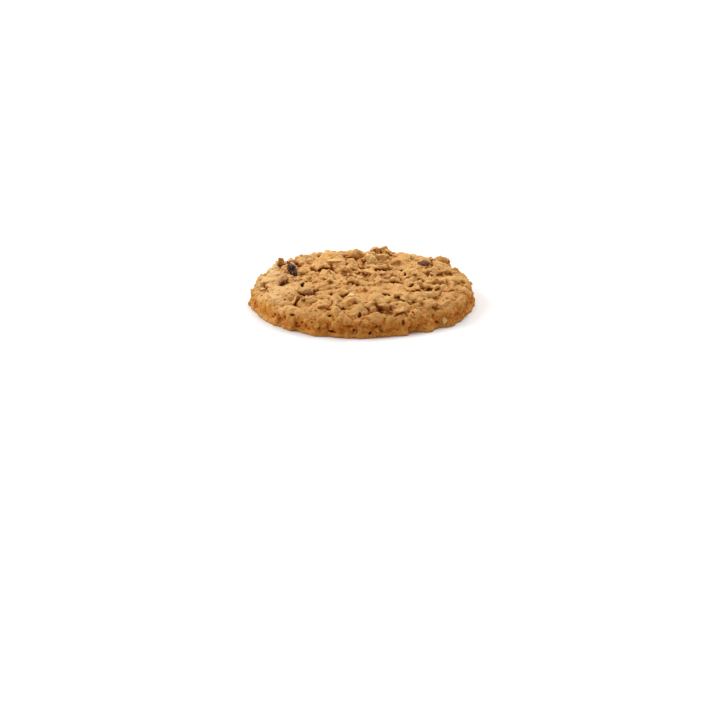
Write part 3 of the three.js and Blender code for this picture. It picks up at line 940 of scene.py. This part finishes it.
def make_flakes(flakes, chunks, field, node):
    """All bare flakes as one piece: the solid's own, scraps of broken ones, and chunks of nut."""
    roll = random(61)
    heap = Heap()
    scraps = broken_scraps(field, node, roll)
    whole, broken = closed_oval(26, 6), closed_oval(14, 3)
    for middle, axes, length in flakes:
        sizes = 1.05 * length, 1.05 * length * FLAKE["width"], 1.12 * FLAKE["thickness"]
        heap.add_flake(whole, roll, middle - FLAKES_SUNK * axes[2], axes, sizes)
    for middle, axes, length in scraps:
        thickness = roll.uniform(*SCRAPS["thickness"])
        sizes = 1.05 * length, 1.05 * length * roll.uniform(*SCRAPS["width"]), thickness
        heap.add_flake(broken, roll, middle, axes, sizes)
    lumps = Lumps(63)
    for middle, axes, sizes, paleness in chunks:
        heap.add(middle + lumps.points(sizes) @ axes, lumps.triangles, shade=paleness, crease=0)
    return heap.piece("oat_flakes", flake_material())


def make_chips(chips):
    """Broken chips of toffee."""
    lumps = Lumps(71)
    heap = Heap()
    for middle, axes, sizes, paleness in chips:
        heap.add(middle + lumps.points(sizes) @ axes, lumps.triangles, pale=paleness)
    return heap.piece("toffee_chips", toffee_material())


SIDES = 9  # of a lump
SHARPNESS = 30  # of the edges between a lump's sides


class Lumps:
    """Blunt, many-sided lumps, as toffee and nuts break into."""

    def __init__(self, seed):
        self.roll = random(seed)
        ball = bmesh.new()
        bmesh.ops.create_icosphere(ball, subdivisions=5, radius=1.0)
        self.ways = np.array([v.co for v in ball.verts])
        self.triangles = np.array([[v.index for v in f.verts] for f in ball.faces])
        ball.free()

    def points(self, sizes):
        sides = self.roll.normal(size=(SIDES, 3))
        sides /= np.linalg.norm(sides, axis=1, keepdims=True)
        reach = np.maximum(self.ways @ sides.T, 0.05) / self.roll.uniform(0.7, 0.95, SIDES)
        radius = np.minimum(1 / (reach**SHARPNESS).sum(axis=1) ** (1 / SHARPNESS), 1.15)
        waves = self.roll.uniform(-10, 10, (9, 3))
        uneven = sum(0.028 * np.sin(self.ways @ way + self.roll.uniform(0, 6.28)) for way in waves)
        return self.ways * (radius + uneven)[:, None] * sizes / 2 * 1.12


# --- Materials ---
MIX_SOCKETS = {"share": 0, "a": 6, "b": 7, "result": 2}  # a Mix node's sockets when it mixes colours


class Shading:
    """A new material and short ways to add nodes to it. Every size is in millimetres."""

    def __init__(self, name):
        self.material = bpy.data.materials.new(name)
        self.material.use_nodes = True
        self.nodes = self.material.node_tree.nodes
        self.links = self.material.node_tree.links
        self.shader = self.nodes["Principled BSDF"]
        coordinates = self.nodes.new("ShaderNodeTexCoord").outputs
        self.place, self.normal = coordinates["Object"], coordinates["Normal"]

    def feed(self, socket, value):
        """Links an output to a socket, or sets the socket to a number or colour."""
        if isinstance(value, bpy.types.NodeSocket):
            self.links.new(value, socket)
        elif isinstance(value, tuple):
            socket.default_value = (*value, 1)
        else:
            socket.default_value = value

    def finish(self, colour, roughness, gloss):
        """Sets what the whole surface is like."""
        self.feed(self.shader.inputs["Base Color"], colour)
        self.feed(self.shader.inputs["Roughness"], roughness)
        self.shader.inputs["Specular IOR Level"].default_value = gloss

    def attribute(self, name):
        node = self.nodes.new("ShaderNodeAttribute")
        node.attribute_name = name
        return node.outputs["Fac"]

    def parts(self, vector):
        """The X, Y and Z of a vector."""
        node = self.nodes.new("ShaderNodeSeparateXYZ")
        self.links.new(vector, node.inputs[0])
        return node.outputs

    def noise(self, size, detail=2.0, roughness=0.5, warp=0.0):
        """Cloudy noise from 0 to 1, with lumps about this large."""
        node = self.nodes.new("ShaderNodeTexNoise")
        self.links.new(self.place, node.inputs["Vector"])
        node.inputs["Scale"].default_value = 1 / (size * MM)
        node.inputs["Detail"].default_value = detail
        node.inputs["Roughness"].default_value = roughness
        node.inputs["Distortion"].default_value = warp
        return node.outputs["Fac"]

    def cells(self, size):
        """Distance from the nearest of many scattered points, in shares of the size between them."""
        node = self.nodes.new("ShaderNodeTexVoronoi")
        self.links.new(self.place, node.inputs["Vector"])
        node.inputs["Scale"].default_value = 1 / (size * MM)
        return node.outputs["Distance"]

    def ranged(self, value, start, end, low=0.0, high=1.0):
        """Maps start..end to low..high, held at both ends."""
        node = self.nodes.new("ShaderNodeMapRange")
        node.interpolation_type = "SMOOTHSTEP"
        for socket, number in zip(("From Min", "From Max", "To Min", "To Max"), (start, end, low, high)):
            node.inputs[socket].default_value = number
        self.links.new(value, node.inputs["Value"])
        return node.outputs["Result"]

    def ramp(self, value, stops):
        node = self.nodes.new("ShaderNodeValToRGB")
        while len(node.color_ramp.elements) < len(stops):
            node.color_ramp.elements.new(0.5)
        for element, (place, colour) in zip(node.color_ramp.elements, stops):
            element.position = place
            element.color = (*colour, 1)
        self.links.new(value, node.inputs["Fac"])
        return node.outputs["Color"]

    def total(self, *weighted, start=0.0):
        """The sum of values, each times its weight."""
        for value, weight in weighted:
            node = self.nodes.new("ShaderNodeMath")
            node.operation = "MULTIPLY_ADD"
            self.links.new(value, node.inputs[0])
            node.inputs[1].default_value = weight
            self.feed(node.inputs[2], start)
            start = node.outputs[0]
        return start

    def mix(self, share, a, b, blend="MIX"):
        node = self.nodes.new("ShaderNodeMix")
        node.data_type = "RGBA"
        node.blend_type = blend
        self.feed(node.inputs[MIX_SOCKETS["share"]], share)
        self.feed(node.inputs[MIX_SOCKETS["a"]], a)
        self.feed(node.inputs[MIX_SOCKETS["b"]], b)
        return node.outputs[MIX_SOCKETS["result"]]

    def bump(self, height, depth):
        """Raises the surface by up to `depth` where the height is 1."""
        node = self.nodes.new("ShaderNodeBump")
        node.inputs["Distance"].default_value = depth * MM
        node.inputs["Strength"].default_value = 1.0
        self.links.new(height, node.inputs["Height"])
        if self.shader.inputs["Normal"].links:
            self.links.new(self.shader.inputs["Normal"].links[0].from_socket, node.inputs["Normal"])
        self.links.new(node.outputs["Normal"], self.shader.inputs["Normal"])


def crust_material():
    look = Shading("baked_crust")
    crag, grain, tint = (look.attribute(name) for name in ("crag", "grain", "tint"))
    place, normal = look.parts(look.place), look.parts(look.normal)

    # Red-brown in the crevices and sandy gold on the mounds: partly the dough's own toasting, partly painted
    # shade in the crevices and painted highlights on the crests.
    relief = look.total((crag, 0.75), (grain, 0.8), (look.noise(0.9, 3.0), 0.16), start=0.38)
    colour = look.ramp(relief, [
        (0.0, (0.18, 0.038, 0.001)),
        (0.22, (0.37, 0.128, 0.011)),
        (0.45, (0.60, 0.305, 0.078)),
        (0.65, (0.68, 0.390, 0.127)),
        (1.0, (0.72, 0.450, 0.175)),
    ])
    # Broad patches, some paler and some more toasted.
    patches = look.ranged(look.noise(9.0, 2.0), 0.35, 0.65)
    colour = look.mix(patches, colour, (0.86, 0.80, 0.72), "MULTIPLY")
    # Pale oats and toasted crumbs.
    colour = look.mix(look.ranged(tint, 0.1, 1.0, 0.0, 0.6), colour, (0.78, 0.44, 0.13))
    colour = look.mix(look.ranged(tint, -0.9, -0.1, 0.4, 0.0), colour, (0.40, 0.17, 0.040))
    # Faces are painted by which way they turn: steep faces darker and more golden as painted shade, and
    # upward-facing crests paler as painted light.
    painted_steep_shade = look.ranged(normal["Z"], 0.0, 0.8, 0.8, 0.0)
    colour = look.mix(painted_steep_shade, colour, (0.92, 0.74, 0.42), "MULTIPLY")
    painted_top_light = look.ranged(look.total((normal["Z"], 0.65), (relief, 0.9)), 0.6, 1.05, 0.0, 0.5)
    colour = look.mix(painted_top_light, colour, (0.68, 0.410, 0.178))
    # The rim is darker and redder towards its foot: partly browning in the oven, partly painted shade on the
    # rim's lower wall.
    low = look.ranged(place["Z"], 2.5 * MM, 8.5 * MM, 1.0, 0.0)
    colour = look.mix(low, colour, (0.92, 0.71, 0.42), "MULTIPLY")
    # The underside is browned by the tray.
    under = look.ranged(normal["Z"], -0.9, -0.3, 1.0, 0.0)
    colour = look.mix(under, colour, (0.72, 0.70, 1.05), "MULTIPLY")
    # The left side is painted paler: painted light, as from the lamp on that side.
    painted_light_left_side = look.ranged(place["X"], -31 * MM, -14 * MM, 1.0, 0.0)
    colour = look.mix(painted_light_left_side, colour, (1.06, 1.20, 1.55), "MULTIPLY")
    # Sandy grain and speckles, dark and pale.
    sand = look.ranged(look.noise(0.32, 1.0, 0.6), 0.4, 0.6, 1.0, 0.0)
    colour = look.mix(sand, colour, (0.86, 0.79, 0.68), "MULTIPLY")
    dark = look.ranged(look.noise(0.5, 2.0, 0.7), 0.55, 0.68, 0.0, 0.85)
    colour = look.mix(dark, colour, (0.60, 0.43, 0.27), "MULTIPLY")
    pale = look.ranged(look.noise(0.5, 2.0, 0.7, 0.4), 0.58, 0.70, 0.0, 0.65)
    colour = look.mix(pale, colour, (0.78, 0.53, 0.24))

    look.finish(colour, look.ranged(look.noise(1.4, 2.0), 0.3, 0.7, 0.8, 0.98), 0.1)
    look.shader.inputs["Subsurface Weight"].default_value = 0.25
    look.shader.inputs["Subsurface Radius"].default_value = (1.0, 0.4, 0.12)
    look.shader.inputs["Subsurface Scale"].default_value = MM
    look.bump(look.noise(0.75, 3.0, 0.65), 0.28)
    look.bump(look.noise(0.35, 2.0, 0.6), 0.2)
    look.bump(look.cells(0.4), 0.08)
    return look.material


def flake_material():
    look = Shading("bare_oat")
    tone = look.total((look.attribute("shade"), 1.0), (look.noise(0.8, 3.0), 0.8), start=-0.4)
    colour = look.ramp(tone, [
        (0.0, (0.60, 0.31, 0.085)),
        (0.5, (0.72, 0.43, 0.14)),
        (1.0, (0.82, 0.58, 0.25)),
    ])
    colour = look.mix(look.ranged(look.attribute("crease"), 0.05, 0.3, 0.0, 0.5), colour, (0.40, 0.19, 0.06))
    speck = look.ranged(look.noise(0.45, 2.0, 0.7), 0.60, 0.72, 0.0, 0.5)
    colour = look.mix(speck, colour, (0.36, 0.16, 0.045))
    look.finish(colour, 0.7, 0.3)
    look.bump(look.noise(0.5, 3.0, 0.6), 0.12)
    return look.material


def toffee_material():
    look = Shading("dark_toffee")
    tone = look.total((look.attribute("pale"), 1.0), (look.noise(1.1, 3.0, 0.6), 1.0), start=-0.5)
    colour = look.ramp(tone, [
        (0.0, (0.032, 0.013, 0.012)),
        (0.35, (0.095, 0.038, 0.034)),
        (0.7, (0.23, 0.085, 0.055)),
        (1.0, (0.42, 0.17, 0.065)),
    ])
    # A film of dough, thin and in patches.
    film = look.ranged(look.noise(0.8, 4.0, 0.7, 1.0), 0.50, 0.62, 0.0, 0.75)
    colour = look.mix(film, colour, (0.40, 0.23, 0.13))
    look.finish(colour, look.ranged(film, 0.0, 0.6, 0.5, 0.85), 0.15)
    look.bump(look.noise(0.7, 3.0, 0.6), 0.3)
    return look.material


def floor_material():
    look = Shading("pale_floor")
    look.finish((0.8, 0.8, 0.8), 0.9, 0.5)
    return look.material


# --- The stage ---
def place_looking(name, data, place, direction):
    """Puts a camera or light at a place in metres, looking in a direction."""
    holder = bpy.data.objects.new(name, data)
    holder.location = place
    holder.rotation_euler = direction.to_track_quat("-Z", "Y").to_euler()
    bpy.context.scene.collection.objects.link(holder)
    return holder


def make_camera():
    camera = bpy.data.cameras.new("camera")
    camera.sensor_width = SENSOR
    camera.lens = SENSOR * DISTANCE * SCALE / PICTURE
    camera.clip_end = VIEW_LIMIT
    bpy.context.scene.camera = place_looking("camera", camera, Vector(EYE * MM), Vector(-BACK))
    bpy.context.scene.view_settings.view_transform = "Standard"


def make_floor():
    corners = [(x * FLOOR_REACH, y * FLOOR_REACH, 0) for x, y in ((-1, -1), (1, -1), (1, 1), (-1, 1))]
    mesh = bpy.data.meshes.new("floor")
    mesh.from_pydata(corners, [], [(0, 1, 2, 3)])
    mesh.materials.append(floor_material())
    floor = bpy.data.objects.new("floor", mesh)
    floor.location.z = -FLOOR_DROP
    bpy.context.scene.collection.objects.link(floor)


def make_lights():
    """Two soft lights, and the pale sky round them."""
    for name, (place, width, power) in LIGHTS.items():
        light = bpy.data.lights.new(name, "AREA")
        light.energy = power
        light.size = width
        place_looking(name, light, place, -Vector(place))
    world = bpy.data.worlds.new("world")
    world.use_nodes = True
    world.node_tree.nodes["Background"].inputs["Color"].default_value = SKY_COLOUR
    world.node_tree.nodes["Background"].inputs["Strength"].default_value = SKY_STRENGTH
    bpy.context.scene.world = world


make_camera()
make_floor()
make_lights()
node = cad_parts[NODE]
touch = Touch(node)
flakes = solid_flakes(touch)
chips = solid_chips(touch)
nut_chunks = seen_chunks(touch, "oat")
toffee_chunks = seen_chunks(touch, "toffee")
crust, field = make_crust(node, touch, flakes, chips, nut_chunks + toffee_chunks)
oats = make_flakes(flakes, nut_chunks, field, node)
toffee = make_chips(chips + toffee_chunks)
for piece, slot in ((crust, "crust"), (oats, "oat_flake"), (toffee, "toffee")):
    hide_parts(NODE)
    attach(piece, "root")
